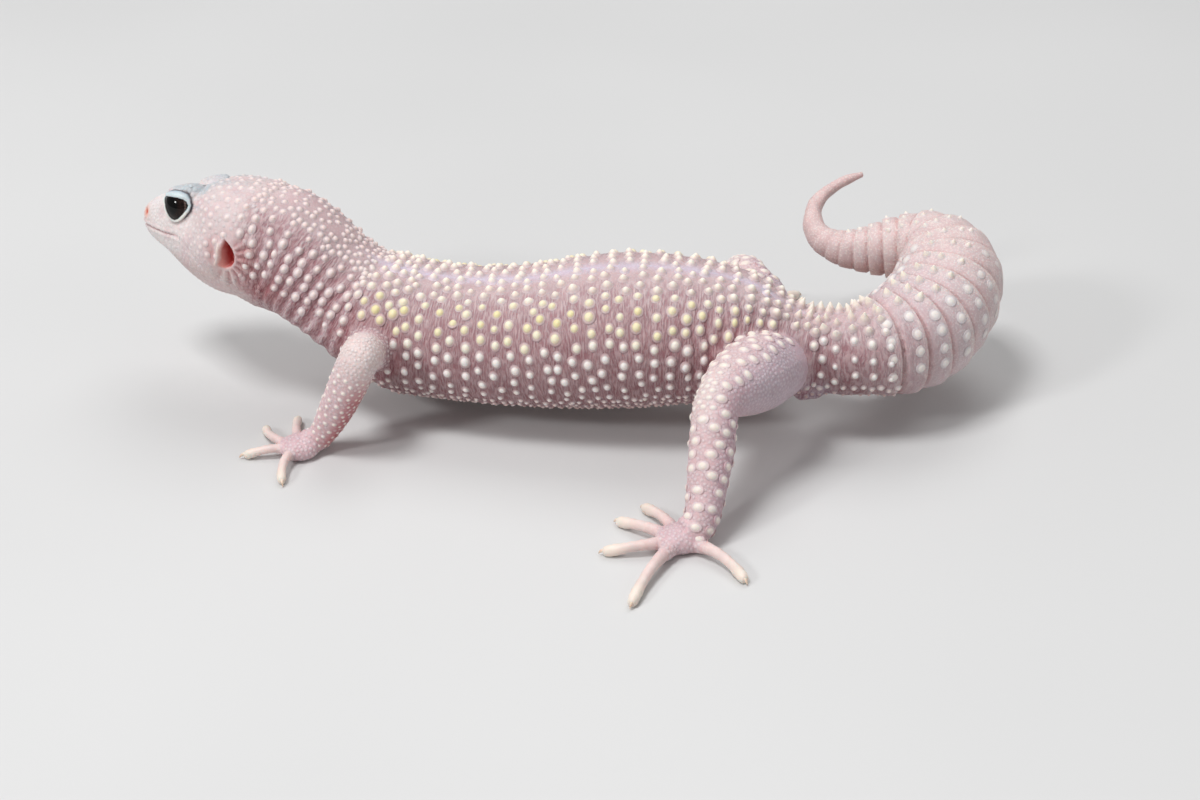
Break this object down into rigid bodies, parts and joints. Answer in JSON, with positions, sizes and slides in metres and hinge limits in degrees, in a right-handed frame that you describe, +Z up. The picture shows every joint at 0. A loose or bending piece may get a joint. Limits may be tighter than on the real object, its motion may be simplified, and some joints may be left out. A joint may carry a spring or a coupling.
{
  "type": "leopard gecko",
  "caption": "Leopard gecko standing on spread feet, its head raised and turned a little and its thick ringed tail curled round and up beside it: a still, life-size model of the whole animal.",
  "frame": {"origin": "the middle of the animal's footprint box, on the floor under its soles", "axes": "+Z up, -X towards the head, -Y towards the animal's left side"},
  "size_m": [0.153, 0.1214, 0.0383],
  "materials": {
    "skin": "satin",
    "claw": "satin",
    "eye": "glossy",
    "eardrum": "satin"
  },
  "bodies": {
    "root": {"claw_foot_left_1": "claw", "claw_foot_left_2": "claw", "claw_foot_left_3": "claw", "claw_foot_left_4": "claw", "claw_foot_left_5": "claw", "claw_foot_right_1": "claw", "claw_foot_right_2": "claw", "claw_foot_right_3": "claw", "claw_foot_right_4": "claw", "claw_foot_right_5": "claw", "claw_hand_left_1": "claw", "claw_hand_left_2": "claw", "claw_hand_left_3": "claw", "claw_hand_left_4": "claw", "claw_hand_left_5": "claw", "claw_hand_right_1": "claw", "claw_hand_right_2": "claw", "claw_hand_right_3": "claw", "claw_hand_right_4": "claw", "claw_hand_right_5": "claw", "eardrum_left": "eardrum", "eardrum_right": "eardrum", "eye_left": "eye", "eye_right": "eye", "foot_left": "skin", "foot_right": "skin", "forearm_left": "skin", "forearm_right": "skin", "hand_left": "skin", "hand_right": "skin", "head": "skin", "jaw": "skin", "neck": "skin", "shank_left": "skin", "shank_right": "skin", "tail_base": "skin", "tail_bend": "skin", "tail_return": "skin", "tail_tip": "skin", "thigh_left": "skin", "thigh_right": "skin", "trunk": "skin", "upper_arm_left": "skin", "upper_arm_right": "skin"}
  },
  "joints": []
}
